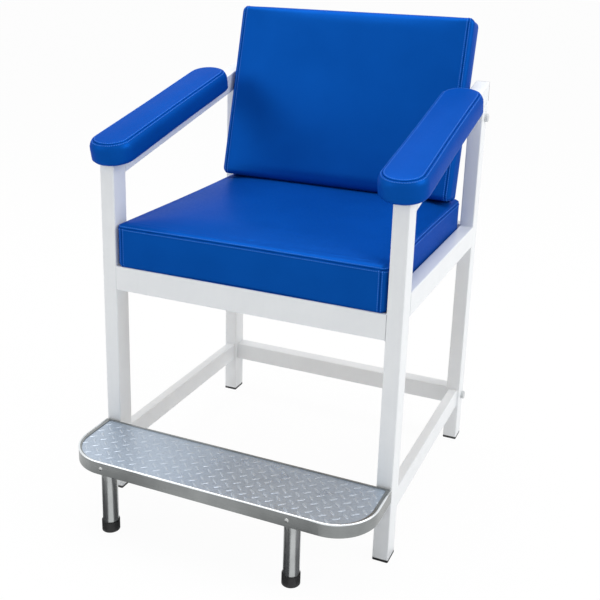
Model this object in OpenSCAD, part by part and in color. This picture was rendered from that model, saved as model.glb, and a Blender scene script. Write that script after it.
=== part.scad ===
// Phlebotomy chair: a steel-tube frame with sloping arms, four vinyl pads and a fixed foot step.
// Lengths are millimetres. X runs across the chair, +Y towards its back, +Z up.
// Left is -X and right is +X, as seen by someone who faces the chair.
// Places along Y are measured from the front faces of the front posts, and every node is then
// moved so that the origin lies on the floor under the middle of the whole chair.

/* [Frame] */
// Width over the outside of the posts
frame_w = 600; // [540:5:660]
// Depth over the outside of the posts
frame_d = 540; // [490:5:570]
// Width of the posts' tube and of the arm rails' tube
post_s = 30; // [26:1:34]
// Depth of the posts' tube
post_d = 40; // [32:1:44]
// Wall of every steel tube
tube_wall = 1.5; // [1.2:0.1:2.5]
// Corner radius of every steel tube
tube_r = 2.5; // [1.8:0.1:4]
// Depth of the seat rails
rail_t = 30; // [24:1:32]
// Height of the front seat rail
front_rail_h = 48; // [40:1:60]
// Top of the front seat rail, where the seat pad lies
seat_z = 479; // [430:5:530]
// Height of the side and rear seat rails
side_rail_h = 44; // [38:1:60]
// How far the side rails stand above the underside of the seat pad
side_rail_rise = 31; // [20:1:36]
// Side of the square tube of the seat bearer
bearer_s = 25; // [20:1:28]
// Width of the side stretchers
stretcher_w = 20; // [15:1:25]
// Height of the side stretchers
stretcher_h = 40; // [25:1:45]
// Top of the stretchers
stretcher_z = 123; // [100:5:180]
// Depth of the rear stretcher and of the back rail
cross_d = 30; // [16:1:32]
// Height of the rear stretcher and of the back rail
cross_h = 40; // [30:1:50]
// Distance from the back of the frame to the middle of the seat bearer
bearer_back = 140; // [60:5:180]

/* [Arms] */
// Height of the arm rails' tube
arm_h = 40; // [30:1:50]
// Underside of the arm rail where it meets the front post
arm_z = 654; // [600:0.5:700]
// Slope of the arm rails, rising to the back
arm_slope = 13.8; // [10:0.2:18]
// Length of an arm pad along its slope
pad_len = 446; // [400:2:480]
// Width of an arm pad
pad_w = 88; // [80:1:120]
// Height of an arm pad at its edge
pad_t = 43; // [36:1:60]
// How far the edge of an arm pad hangs down beside its rail
pad_skirt = 8; // [6:1:12]
// Crown of an arm pad above its edge
pad_crown = 6; // [3:1:12]
// How far an arm pad stands in front of the posts
pad_front = 17; // [0:1:25]
// How far the middle of an arm pad lies inside the middle of its rail
pad_inset = 4; // [0:1:8]
// Plywood of the arm boards
arm_board_t = 12; // [9:1:15]

/* [Seat] */
// Height of the seat pad at its edge, with its board
seat_t = 84; // [60:1:110]
// How much higher the edge of the seat pad lies at its rear
seat_rise = 8; // [0:1:12]
// Crown of the seat pad above its edge
seat_crown = 9; // [4:1:16]
// Corner radius of the seat pad, seen from above
seat_r = 12; // [8:1:25]
// Plywood of the seat board
seat_board_t = 15; // [12:1:20]
// Air between the seat pad and the posts beside it
seat_side_gap = 2; // [1:0.5:4]
// Air between the seat pad and the nuts of the bracket bolts behind it
seat_rear_gap = 2; // [1:0.5:6]

/* [Back] */
// Air between the back pad and the arm rails beside it
back_side_gap = 5; // [4:1:20]
// Height of the back pad along its slope
back_h = 374; // [320:2:430]
// Thickness of the back pad at its edge, with its board
back_t = 52; // [44:1:64]
// Crown of the back pad in front of its edge
back_crown = 9; // [4:1:14]
// Corner radius of the back pad, seen from the front
back_r = 12; // [10:1:30]
// Lean of the back pad from upright
back_lean = 14.5; // [11:0.5:18]
// Air between the seat pad's edge height at its rear and the lowest corner of the back pad
back_gap = 4; // [3:1:20]
// How far the rail that the back pad leans on lies below the arm rails
back_rail_drop = 5; // [2:1:40]
// Plywood of the back board
back_board_t = 12; // [9:1:18]
// Distance between the two back brackets
bracket_pitch = 320; // [200:5:400]
// Width of a back bracket
bracket_w = 40; // [30:1:50]
// Flat steel of the back brackets
strap_t = 5; // [3:0.5:6]

/* [Step] */
// Depth of the foot step
step_d = 146; // [130:2:190]
// Top of the foot step
step_z = 153; // [130:1:200]
// Height of the step's rim
rim_h = 25; // [20:1:32]
// Sheet of the step's rim
rim_t = 1.5; // [1:0.1:2.5]
// Radius of the step's front corners
rim_r = 80; // [50:1:110]
// Width of the rim's top flange at the two ends
flange_end = 9; // [6:1:14]
// Width of the rim's top flange along the front
flange_front = 4; // [3:0.5:8]
// Thickness of the tread plate
tread_t = 3; // [2:0.5:4]
// Outside diameter of the step's legs
leg_d = 30; // [25:1:38]
// From the left end of the step to the middle of its left leg
leg_left_inset = 88; // [70:2:140]
// From the right end of the step to the middle of its right leg
leg_right_inset = 138; // [70:2:160]
// From the front of the step to the middle of its legs
leg_front_inset = 27; // [22:1:40]
// Rubber washer between the step and each front post
washer_t = 3; // [2:0.5:5]
// Height of the rubber ferrules on the step's legs
ferrule_h = 20; // [15:1:30]
// Rubber wall of a ferrule, at its side
ferrule_wall = 1.6; // [1:0.1:3]
// Rubber under the end of a leg
ferrule_base = 4; // [3:0.5:8]

/* [Fittings] */
// Plate of the glides under the posts
glide_t = 5; // [3:0.5:8]
// Length of the part of a plug that sits inside its tube
plug_len = 16; // [10:1:25]
// Cover plate of the plugs in the rear ends of the arm rails
plug_t = 2.5; // [1.5:0.5:4]
// Diameter of the frame bolts
bolt_d = 8; // [6:1:8]
// Width across the flats of a frame bolt's head
bolt_af = 13; // [13:1:15]
// Height of a frame bolt's head and of its nut
bolt_head_h = 5.5; // [4:0.5:7]
// Wall of the plastic cap on a bolt's head
cap_wall = 1; // [1:0.1:2.5]
// Diameter of the screws that hold the pads
screw_d = 5; // [4:0.5:6]
// Diameter of a pad screw's head
screw_head_d = 10; // [8:0.5:12]
// Height of a pad screw's head
screw_head_h = 3; // [2:0.5:4]
// How far a pad screw reaches into its board
screw_bite = 8; // [6:0.5:9]
// Plates welded inside the ends of the bolted rails
end_plate_t = 3; // [2:0.5:5]
// Thickness of the tabs that hold the seat board
tab_t = 4; // [3:0.5:6]
// How far a seat tab reaches in from its rail
tab_len = 44; // [38:1:60]
// Width of a seat tab along its rail
tab_w = 36; // [25:1:60]

/* [Hidden] */

// Overrun of cuts, so that no cut ends on a face
over = 1;
// Air round a plug in its tube, and round a bolt or screw in its hole
fit_gap = 0.2;
// Air between a pad and what it lies on or holds
soft_gap = 0.3;
// Thread that shows past a nut
thread_end = 1;
// Facets of round parts
round_fn = 32;

post_x = frame_w / 2 - post_s / 2;
rear_z = seat_z + side_rail_rise;
arm_rise = arm_h / cos(arm_slope);
tube_in = post_s - 2 * tube_wall;
rear_rail_front = frame_d - rail_t;
cross_front = frame_d - cross_d;
cross_len = frame_w - 2 * post_s;
bearer_y = frame_d - bearer_back;
cross_bolt_y = frame_d - cross_d / 2;
stretcher_bolt_z = stretcher_z - cross_h / 2;
back_rail_z = arm_z + (cross_front - post_d) * tan(arm_slope) - back_rail_drop;
back_bolt_z = back_rail_z - cross_h / 2;
top_z = seat_z + arm_z;

seat_w = frame_w - 2 * max(post_s, rail_t) - 2 * seat_side_gap;
strap_front = rear_rail_front - strap_t;
seat_d = strap_front - bolt_head_h - thread_end - seat_rear_gap;
pad_x = post_x - pad_inset;
seat_edge_r = 10;
seat_board_inset = 22;
seat_pull = 2.5;
pad_edge_r = 16;
pad_board_inset = 14;
pad_pull = 1;
pad_round_share = 0.47;
arm_screw_shares = [0.2, 0.8];
// The groove under an arm pad takes the rail and the top of the front post
rail_groove = post_s + 2 * soft_gap;
groove_front = (pad_front - pad_skirt * sin(arm_slope)) / cos(arm_slope) - pad_skirt * tan(arm_slope) - soft_gap;
back_edge_r = 11;
back_board_inset = 16;
back_pull = 2.5;
bottom_edge_r = 4;

back_w = frame_w - 2 * post_s - 2 * back_side_gap;
// The plane of the back board's rear face crosses the back rail's top front edge.
back_rear_z = seat_z + seat_t + seat_rise + back_gap;
back_rear_y = cross_front - soft_gap - (back_rail_z - back_rear_z) * tan(back_lean);
strap_low_share = 0.1;
strap_low = back_h * strap_low_share;
strap_high = (strap_front - back_rear_y) / sin(back_lean);
strap_inner = (strap_front - back_rear_y - strap_t * cos(back_lean)) / sin(back_lean);
bracket_x = bracket_pitch / 2;
bracket_margin = 6;
back_screw_shares = [0.3, 0.75];
wedge_w = 30;
wedge_margin = 4;
wedge_h = cross_h - 2 * wedge_margin;
wedge_mid_z = back_rail_z - cross_h / 2;
wedge_x = bracket_x + bracket_w / 2 + bracket_margin + wedge_w / 2;

step_w = frame_w;
step_rear = -washer_t;
step_front = step_rear - step_d;
tread_top = step_z - rim_t;
tread_low = tread_top - tread_t;
stiffener_s = 15;
leg_bracket_w = 56;
leg_bracket_t = 3;
leg_top = tread_low - leg_bracket_t;
leg_y = step_front + leg_front_inset;
leg_x = [-step_w / 2 + leg_left_inset, step_w / 2 - leg_right_inset];
leg_bracket_rear = leg_y + leg_d / 2 + bracket_margin;
leg_tab_h = 15;
leg_tab_w = 14;
// Air between the plate on a leg and the rim in front of it, which curves near the step's ends
leg_plate_gap = 5;
rivet_d = 5;
rivet_head_d = 8;
rivet_head_h = 1.6;
rivet_z = step_z - rim_h / 2;
washer_d = 20;
rivnut_wall = 1.5;
rivnut_len = 14;
step_bolt_z = step_z - rim_h / 2;

tab_y_shares = [0.37, 0.82];
tab_hole_inset = 9;

// The chair's front and rear ends along Y, and the middle between them
back_top_y = back_rear_y + back_h * sin(back_lean);
origin_y = (step_front + back_top_y) / 2;

white = "WhiteSmoke";
blue = "RoyalBlue";
steel = "LightSteelBlue";
alloy = "Silver";
black = "DimGray";
grey = "LightGray";
ply = "BurlyWood";
zinc = "Gainsboro";

// Underside and top of the arm rails at a place along Y
function arm_under(y) = arm_z + (y - post_d) * tan(arm_slope);
function arm_top(y) = arm_under(y) + arm_rise;

// A point of the back board's rear plane, as Y and Z, up its slope by v and behind it by back
function back_point(v, back) = [
    back_rear_y + v * sin(back_lean) + back * cos(back_lean),
    back_rear_z + v * cos(back_lean) - back * sin(back_lean)
];

// Points round each corner and along each side of a pad's outline
arc_n = 4;
side_n = 6;
ring_n = 4 * (arc_n + 1 + side_n);
// Turns of a rounded edge, and shares of the outline at which the crown's rings lie
edge_turns = [0, 30, 60, 90];
crown_shares = [0.9, 0.74, 0.54, 0.32, 0.12];

// One corner's arc and the side that follows it, drawn in by pull at its middle
function corner_at(w, d, r, c) = [
    ((c % 4 == 0 || c % 4 == 3) ? 1 : -1) * (w / 2 - r),
    (c % 4 < 2 ? 1 : -1) * (d / 2 - r)
];
function toward(a) = [cos(a), sin(a)];
function corner_run(w, d, r, pull, c) = concat(
    [for (i = [0 : arc_n]) corner_at(w, d, r, c) + r * toward(90 * (c + i / arc_n))],
    [for (i = [1 : side_n])
        let (t = i / (side_n + 1), out = toward(90 * (c + 1)))
        (1 - t) * corner_at(w, d, r, c) + t * corner_at(w, d, r, c + 1)
            + (r - pull * sin(180 * t)) * out]
);
function ring(w, d, r, pull, z) = [
    for (c = [0 : 3]) for (p = corner_run(w, d, r, pull, c)) [p[0], p[1], z]
];
// A ring drawn in from the outline by inset, then scaled by share
function pad_ring(w, d, r, pull, inset, share, z) = ring(
    (w - 2 * inset) * share, (d - 2 * inset) * share, (r - inset * r / (r + inset)) * share,
    pull * share, z
);
// A ring that rises by rise from the front to the rear of a pad as deep as d
function risen(points, d, rise) = [for (p = points) [p[0], p[1], p[2] + rise * (p[1] / d + 1 / 2)]];
// A pad's rings from its underside to the middle of its crown
function pad_rings(w, d, r, pull, low, high, edge, crown, rise) = concat(
    [for (i = [len(edge_turns) - 1 : -1 : 0])
        let (a = edge_turns[i])
        pad_ring(w, d, r, pull, bottom_edge_r * (1 - cos(a)), 1, low + bottom_edge_r * (1 - sin(a)))],
    [for (a = edge_turns)
        risen(pad_ring(w, d, r, pull, edge * (1 - cos(a)), 1, high - edge + edge * sin(a)), d, rise)],
    [for (s = crown_shares)
        risen(pad_ring(w, d, r, pull, edge, s, high + crown * (1 - s * s)), d, rise)]
);
function skin_faces(count) = concat(
    [for (k = [0 : count - 2]) for (i = [0 : ring_n - 1])
        let (j = (i + 1) % ring_n, a = k * ring_n)
        each [[a + i, a + ring_n + j, a + j], [a + i, a + ring_n + i, a + ring_n + j]]],
    [for (i = [0 : ring_n - 1]) [count * ring_n, i, (i + 1) % ring_n]],
    [for (i = [0 : ring_n - 1])
        let (a = (count - 1) * ring_n)
        [count * ring_n + 1, a + (i + 1) % ring_n, a + i]]
);

// A stuffed pad that lies on z = 0 with a crowned top, which rises to its rear; its middle is
// the origin
module soft_pad(w, d, r, pull, high, edge, crown, rise) {
    rings = pad_rings(w, d, r, pull, soft_gap, high, edge, crown, rise);
    points = concat([for (one = rings) each one], [[0, 0, soft_gap], [0, 0, high + crown + rise / 2]]);
    polyhedron(points = points, faces = skin_faces(len(rings)), convexity = 4);
}

module rounded_rect(w, d, r) {
    square([w - 2 * r, d], center = true);
    square([w, d - 2 * r], center = true);
    for (x = [-1, 1], y = [-1, 1])
        translate([x * (w / 2 - r), y * (d / 2 - r)]) circle(r = r, $fn = round_fn);
}

module tube_section(w, d) {
    difference() {
        rounded_rect(w, d, tube_r);
        square([w - 2 * tube_wall, d - 2 * tube_wall], center = true);
    }
}

// Bars along X and Y from a section; its second direction stands upright
module along_x(length) rotate([90, 0, 90]) linear_extrude(length, center = true) children();
module along_y(length) rotate([90, 0, 0]) linear_extrude(length, center = true) children();
module rod_x(d, length) rotate([0, 90, 0]) cylinder(d = d, h = length, center = true, $fn = round_fn);
module rod_y(d, length) rotate([90, 0, 0]) cylinder(d = d, h = length, center = true, $fn = round_fn);

// Profile in Y and Z, as thick as width about x
module side_profile(x, width, points)
    translate([x - width / 2, 0, 0]) rotate([90, 0, 90]) linear_extrude(width) polygon(points);

// Frame of an arm pad: x across, y up the slope, z out of the rail's top face
module arm_frame(side)
    translate([side * pad_x, -pad_front, arm_top(-pad_front)]) rotate([arm_slope, 0, 0]) children();

// Frame of the back pad: x across, y up the slope, z forwards out of the board's rear face
module back_frame()
    translate([0, back_rear_y, back_rear_z]) rotate([90 - back_lean, 0, 0]) children();

module placed() translate([0, -origin_y, 0]) children();

// Everything above a plane that slopes like the arms and meets y = post_d at height z
module above_slope(side, z)
    translate([side * post_x, post_d, z]) rotate([arm_slope, 0, 0])
        translate([-post_s, -top_z, 0]) cube([2 * post_s, 2 * top_z, top_z]);

module front_post(side) {
    color(white) placed() difference() {
        translate([side * post_x, post_d / 2, glide_t])
            linear_extrude(top_z - glide_t) tube_section(post_s, post_d);
        above_slope(side, arm_top(post_d));
        translate([side * post_x, 0, step_bolt_z]) rod_y(bolt_d + 2 * rivnut_wall + 2 * fit_gap, post_d);
    }
}

module rear_post(side) {
    color(white) placed() difference() {
        translate([side * post_x, frame_d - post_d / 2, glide_t])
            linear_extrude(top_z - glide_t) tube_section(post_s, post_d);
        above_slope(side, arm_under(post_d));
        for (z = [stretcher_bolt_z, back_bolt_z])
            translate([side * post_x, cross_bolt_y, z]) rod_x(bolt_d + 2 * fit_gap, 2 * post_s);
    }
}

module arm_rail(side) {
    color(white) placed() difference() {
        intersection() {
            translate([side * post_x, post_d, arm_under(post_d)]) rotate([arm_slope, 0, 0])
                translate([0, frame_d / 2, arm_h / 2]) along_y(2 * frame_d) tube_section(post_s, arm_h);
            translate([side * post_x - post_s, post_d, 0]) cube([2 * post_s, frame_d - post_d, top_z]);
        }
        arm_frame(side) for (share = arm_screw_shares)
            translate([side * pad_inset, share * pad_len, -arm_h / 2])
                cylinder(d = screw_d + 2 * fit_gap, h = 2 * arm_h, center = true, $fn = round_fn);
    }
}

module seat_rail_front() {
    color(white) placed() translate([0, rail_t / 2, seat_z - front_rail_h / 2])
        along_x(cross_len) tube_section(rail_t, front_rail_h);
}

module seat_rail_rear() {
    color(white) placed() difference() {
        translate([0, frame_d - rail_t / 2, rear_z - side_rail_h / 2])
            along_x(cross_len) tube_section(rail_t, side_rail_h);
        for (side = [-1, 1])
            translate([side * bracket_x, frame_d, rear_z - side_rail_h / 2])
                rod_y(bolt_d + 2 * fit_gap, 3 * rail_t);
    }
}

module seat_rail_side(side) {
    color(white) placed()
        translate([side * (frame_w / 2 - rail_t / 2), frame_d / 2, rear_z - side_rail_h / 2])
            along_y(frame_d - 2 * post_d) tube_section(rail_t, side_rail_h);
}

module seat_bearer() {
    color(white) placed() translate([0, bearer_y, seat_z - bearer_s / 2])
        along_x(frame_w - 2 * rail_t) tube_section(bearer_s, bearer_s);
}

module at_tabs() {
    for (side = [-1, 1], share = tab_y_shares)
        translate([side * (frame_w / 2 - rail_t), share * bearer_y, seat_z]) scale([side, 1, 1]) children();
}

module seat_tabs() {
    color(white) placed() for (side = [-1, 1], share = tab_y_shares) difference() {
        translate([side * (frame_w / 2 - rail_t - tab_len / 2), share * bearer_y, seat_z - tab_t / 2])
            cube([tab_len, tab_w, tab_t], center = true);
        translate([side * (frame_w / 2 - rail_t - tab_len + tab_hole_inset), share * bearer_y, seat_z])
            cylinder(d = screw_d + 2 * fit_gap, h = 3 * tab_t, center = true, $fn = round_fn);
    }
}

module side_stretcher(side) {
    color(white) placed() translate([side * post_x, frame_d / 2, stretcher_z - stretcher_h / 2])
        along_y(frame_d - 2 * post_d) tube_section(stretcher_w, stretcher_h);
}

// A rail bolted between the rear posts, with a plate inside each end
module cross_rail(top) {
    translate([0, cross_bolt_y, top - cross_h / 2]) difference() {
        union() {
            along_x(cross_len) tube_section(cross_d, cross_h);
            for (side = [-1, 1])
                translate([side * (cross_len / 2 - end_plate_t / 2), 0, 0])
                    cube([end_plate_t, cross_d - tube_wall, cross_h - tube_wall], center = true);
        }
        rod_x(bolt_d + 2 * fit_gap, 2 * cross_len);
    }
}

module rear_stretcher() {
    color(white) placed() cross_rail(stretcher_z);
}

module back_rail() {
    color(white) placed() difference() {
        cross_rail(back_rail_z);
        for (side = [-1, 1])
            translate([side * wedge_x, cross_bolt_y, wedge_mid_z])
                rod_y(screw_d + 2 * fit_gap, 2 * cross_d);
    }
}

module hex_head(af, h) cylinder(d = af / cos(30), h = h, $fn = 6);

// A bolt along +Z whose head's underside is at z = 0, with its nut
module bolt_and_nut(reach) {
    translate([0, 0, -bolt_head_h]) hex_head(bolt_af, bolt_head_h);
    cylinder(d = bolt_d, h = reach + bolt_head_h + thread_end, $fn = round_fn);
    translate([0, 0, reach]) hex_head(bolt_af, bolt_head_h);
}

// Places the bolts of a cross rail, each pointing into the chair
module at_cross_bolts(z) {
    for (side = [-1, 1])
        translate([side * frame_w / 2, cross_bolt_y, z]) rotate([0, -side * 90, 0]) children();
}

module stretcher_bolts() {
    color(zinc) placed() at_cross_bolts(stretcher_bolt_z) bolt_and_nut(post_s + end_plate_t);
}

module back_rail_bolts() {
    color(zinc) placed() at_cross_bolts(back_bolt_z) bolt_and_nut(post_s + end_plate_t);
}

module bolt_caps() {
    cap_r = bolt_af / cos(30) / 2 + fit_gap + cap_wall;
    cap_h = bolt_head_h + fit_gap + cap_wall;
    color(grey) placed() for (z = [stretcher_bolt_z, back_bolt_z]) at_cross_bolts(z) difference() {
        translate([0, 0, -cap_h]) rotate_extrude($fn = round_fn) polygon(concat(
            [[0, cap_h], [cap_r, cap_h]],
            [for (a = edge_turns) [cap_r - cap_wall + cap_wall * cos(a), cap_wall * (1 - sin(a))]],
            [[0, 0]]
        ));
        translate([0, 0, -bolt_head_h - fit_gap])
            cylinder(r = cap_r - cap_wall, h = cap_h, $fn = round_fn);
    }
}

module foot_glides() {
    in_w = tube_in - 2 * fit_gap;
    in_d = post_d - 2 * tube_wall - 2 * fit_gap;
    color(black) placed() for (side = [-1, 1], y = [post_d / 2, frame_d - post_d / 2])
        translate([side * post_x, y, 0]) {
            linear_extrude(glide_t) rounded_rect(post_s, post_d, tube_r);
            linear_extrude(glide_t + plug_len) rounded_rect(in_w, in_d, tube_wall);
        }
}

module arm_rail_plugs() {
    in_w = tube_in - 2 * fit_gap;
    in_h = arm_h - 2 * tube_wall - 2 * fit_gap;
    color(black) placed() for (side = [-1, 1]) {
        translate([side * post_x, frame_d + plug_t / 2, arm_under(frame_d) + arm_rise / 2])
            along_y(plug_t) rounded_rect(post_s, arm_rise, tube_r);
        intersection() {
            translate([side * post_x, post_d, arm_under(post_d)]) rotate([arm_slope, 0, 0])
                translate([0, frame_d / 2, arm_h / 2]) along_y(2 * frame_d) rounded_rect(in_w, in_h, tube_wall);
            translate([side * post_x - post_s, frame_d - plug_len, 0])
                cube([2 * post_s, plug_len + plug_t, top_z]);
        }
    }
}

module pad_board(w, d, r, t) linear_extrude(t) rounded_rect(w, d, r);

module arm_board(side) {
    w = pad_w - 2 * pad_board_inset;
    color(ply) placed() arm_frame(side) difference() {
        translate([0, pad_len / 2, 0]) pad_board(w, pad_len - 2 * pad_board_inset, w / 3, arm_board_t);
        for (share = arm_screw_shares) translate([side * pad_inset, share * pad_len, -over])
            cylinder(d = screw_d + 2 * fit_gap, h = screw_bite + over + fit_gap, $fn = round_fn);
    }
}

module arm_pad(side) {
    w = pad_w - 2 * pad_board_inset + 2 * soft_gap;
    d = pad_len - 2 * pad_board_inset + 2 * soft_gap;
    color(blue) placed() arm_frame(side) translate([0, pad_len / 2, 0]) difference() {
        translate([0, 0, -pad_skirt])
            soft_pad(pad_w, pad_len, pad_w * pad_round_share, pad_pull, pad_t, pad_edge_r, pad_crown, 0);
        translate([0, 0, -soft_gap]) pad_board(w, d, w / 3, arm_board_t + 2 * soft_gap);
        translate([side * pad_inset - rail_groove / 2, groove_front - pad_len / 2, -2 * pad_skirt])
            cube([rail_groove, 2 * pad_len, 2 * pad_skirt]);
    }
}

// A pan-head screw along +Z whose head's underside is at z = 0
module pad_screw(reach) {
    translate([0, 0, -screw_head_h]) cylinder(d = screw_head_d, h = screw_head_h, $fn = round_fn);
    cylinder(d = screw_d, h = reach, $fn = round_fn);
}

module arm_screws() {
    color(zinc) placed() for (side = [-1, 1]) arm_frame(side) for (share = arm_screw_shares)
        translate([side * pad_inset, share * pad_len, -arm_h]) pad_screw(arm_h + screw_bite);
}

module seat_board() {
    w = seat_w - 2 * seat_board_inset;
    d = seat_d - 2 * seat_board_inset;
    color(ply) placed() difference() {
        translate([0, seat_d / 2, seat_z]) pad_board(w, d, seat_r, seat_board_t);
        at_tabs() translate([tab_hole_inset - tab_len, 0, -over])
            cylinder(d = screw_d + 2 * fit_gap, h = screw_bite + over + fit_gap, $fn = round_fn);
    }
}

module seat_cushion() {
    w = seat_w - 2 * seat_board_inset + 2 * soft_gap;
    d = seat_d - 2 * seat_board_inset + 2 * soft_gap;
    color(blue) placed() translate([0, seat_d / 2, seat_z]) difference() {
        soft_pad(seat_w, seat_d, seat_r, seat_pull, seat_t, seat_edge_r, seat_crown, seat_rise);
        translate([0, 0, -over]) pad_board(w, d, seat_r, seat_board_t + soft_gap + over);
    }
}

module seat_screws() {
    color(zinc) placed() at_tabs()
        translate([tab_hole_inset - tab_len, 0, -tab_t]) pad_screw(tab_t + screw_bite);
}

module back_bracket(side) {
    low = back_point(strap_low, strap_t);
    mid = back_point(strap_inner, strap_t);
    foot = rear_z - side_rail_h + bracket_margin;
    web_low = back_point(strap_low, strap_t / 2);
    web_high = back_point(strap_inner, strap_t / 2);
    color(white) placed() difference() {
        union() {
            side_profile(side * bracket_x, bracket_w, [
                back_point(strap_low, 0), back_point(strap_high, 0),
                [rear_rail_front, back_point(strap_high, 0)[1]], [rear_rail_front, foot],
                [strap_front, foot], mid, low
            ]);
            side_profile(side * bracket_x, strap_t, [
                web_low, web_high, [strap_front + strap_t / 2, mid[1]],
                [strap_front + strap_t / 2, low[1]], low
            ]);
        }
        back_frame() for (share = back_screw_shares)
            translate([side * (bracket_x + bracket_w / 4), strap_low + share * (strap_inner - strap_low), 0])
                cylinder(d = screw_d + 2 * fit_gap, h = 4 * strap_t, center = true, $fn = round_fn);
        translate([side * bracket_x, strap_front, rear_z - side_rail_h / 2])
            rod_y(bolt_d + 2 * fit_gap, 4 * strap_t);
    }
}

// Places a bolt through each bracket's foot and the rear seat rail, pointing to the back
module bracket_bolts() {
    color(zinc) placed() for (side = [-1, 1])
        translate([side * bracket_x, frame_d, rear_z - side_rail_h / 2]) rotate([90, 0, 0])
            bolt_and_nut(rail_t + strap_t);
}

module back_wedges() {
    low = wedge_mid_z - wedge_h / 2;
    high = wedge_mid_z + wedge_h / 2;
    color(black) placed() for (side = [-1, 1]) difference() {
        side_profile(side * wedge_x, wedge_w, [
            [back_rear_y + (low - back_rear_z) * tan(back_lean), low],
            [back_rear_y + (high - back_rear_z) * tan(back_lean), high],
            [cross_front, high], [cross_front, low]
        ]);
        translate([side * wedge_x, cross_front, wedge_mid_z]) rod_y(screw_d + 2 * fit_gap, 2 * cross_d);
    }
}

// Place along the back pad's slope where the wedge screws meet it
wedge_v = (wedge_mid_z - back_rear_z) / cos(back_lean);

module at_wedge_screws() {
    for (side = [-1, 1]) translate([side * wedge_x, frame_d, wedge_mid_z]) rotate([90, 0, 0]) children();
}

module back_wedge_screws() {
    color(zinc) placed() at_wedge_screws()
        pad_screw(frame_d - (back_rear_y + wedge_v * sin(back_lean)) + screw_bite);
}

module back_screw_holes() {
    for (side = [-1, 1], share = back_screw_shares)
        translate([
            side * (bracket_x + bracket_w / 4), strap_low + share * (strap_inner - strap_low), 0
        ]) children();
}

module back_board() {
    w = back_w - 2 * back_board_inset;
    h = back_h - 2 * back_board_inset;
    reach = frame_d - (back_rear_y + wedge_v * sin(back_lean)) + screw_bite + fit_gap;
    color(ply) placed() difference() {
        back_frame() translate([0, back_h / 2, 0]) pad_board(w, h, back_r, back_board_t);
        back_frame() back_screw_holes() translate([0, 0, -over])
            cylinder(d = screw_d + 2 * fit_gap, h = screw_bite + over + fit_gap, $fn = round_fn);
        at_wedge_screws() cylinder(d = screw_d + 2 * fit_gap, h = reach, $fn = round_fn);
    }
}

module back_cushion() {
    w = back_w - 2 * back_board_inset + 2 * soft_gap;
    h = back_h - 2 * back_board_inset + 2 * soft_gap;
    color(blue) placed() back_frame() translate([0, back_h / 2, 0]) difference() {
        soft_pad(back_w, back_h, back_r, back_pull, back_t, back_edge_r, back_crown, 0);
        translate([0, 0, -over]) pad_board(w, h, back_r, back_board_t + soft_gap + over);
    }
}

module back_screws() {
    color(zinc) placed() back_frame() back_screw_holes()
        translate([0, 0, -strap_t]) pad_screw(strap_t + screw_bite);
}

// Outline of the step with straight rear corners and round front ones
module step_outline(end, front, rear) {
    r = rim_r - end;
    w = step_w - 2 * end;
    low = step_front + front;
    high = step_rear - rear;
    intersection() {
        translate([-w / 2, low]) square([w, high - low]);
        union() {
            translate([-w / 2, low + r]) square([w, step_d]);
            translate([-w / 2 + r, low]) square([w - 2 * r, step_d]);
            for (side = [-1, 1]) translate([side * (w / 2 - r), low + r]) circle(r = r, $fn = 3 * round_fn);
        }
    }
}

module step_rim() {
    color(steel) placed() difference() {
        translate([0, 0, step_z - rim_h]) linear_extrude(rim_h) step_outline(0, 0, 0);
        translate([0, 0, step_z - rim_h - over]) linear_extrude(rim_h + over - rim_t)
            step_outline(rim_t, rim_t, rim_t);
        translate([0, 0, step_z - rim_h]) linear_extrude(rim_h + over)
            step_outline(flange_end, flange_front, flange_front);
        for (x = leg_x) translate([x, step_front, rivet_z]) rod_y(rivet_d + 2 * fit_gap, 4 * rim_t);
        for (side = [-1, 1])
            translate([side * post_x, step_rear, step_bolt_z]) rod_y(bolt_d + 2 * fit_gap, 4 * rim_t);
    }
}

module step_tread_plate() {
    edge = rim_t + soft_gap;
    color(alloy) placed() translate([0, 0, tread_low]) linear_extrude(tread_t)
        step_outline(edge, edge, edge);
}

module step_stiffener() {
    color(steel) placed()
        translate([0, (leg_bracket_rear + step_rear - rim_t - bolt_head_h) / 2, tread_low - stiffener_s / 2])
            along_x(step_w - 2 * rim_t) tube_section(stiffener_s, stiffener_s);
}

module step_leg(x) {
    color(steel) placed() translate([x, leg_y, ferrule_base]) difference() {
        cylinder(d = leg_d, h = leg_top - ferrule_base, $fn = 2 * round_fn);
        translate([0, 0, -over])
            cylinder(d = leg_d - 2 * tube_wall, h = leg_top - ferrule_base + 2 * over, $fn = 2 * round_fn);
    }
}

module step_leg_brackets() {
    strip_d = leg_bracket_rear - step_front - rim_t;
    color(steel) placed() for (x = leg_x) difference() {
        translate([x, step_front + rim_t, leg_top]) {
            translate([-leg_bracket_w / 2, leg_plate_gap, 0])
                cube([leg_bracket_w, strip_d - leg_plate_gap, leg_bracket_t]);
            translate([-leg_tab_w / 2, 0, 0]) cube([leg_tab_w, strip_d, leg_bracket_t]);
            translate([-leg_tab_w / 2, 0, -leg_tab_h]) cube([leg_tab_w, leg_bracket_t, leg_tab_h + leg_bracket_t]);
        }
        translate([x, step_front, rivet_z]) rod_y(rivet_d + 2 * fit_gap, 4 * (rim_t + leg_bracket_t));
    }
}

module rim_rivets() {
    grip = rim_t + leg_bracket_t;
    color(zinc) placed() for (x = leg_x) translate([x, step_front, rivet_z]) rotate([-90, 0, 0]) {
        translate([0, 0, -rivet_head_h]) rotate_extrude($fn = round_fn) polygon(concat(
            [for (a = edge_turns)
                [rivet_head_d / 2 * cos(a), rivet_head_h * (1 - sin(a))]],
            [[0, rivet_head_h]]
        ));
        cylinder(d = rivet_d, h = grip + rivet_head_h / 2, $fn = round_fn);
        translate([0, 0, grip]) cylinder(d = rivet_head_d, h = rivet_head_h, $fn = round_fn);
    }
}

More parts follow.
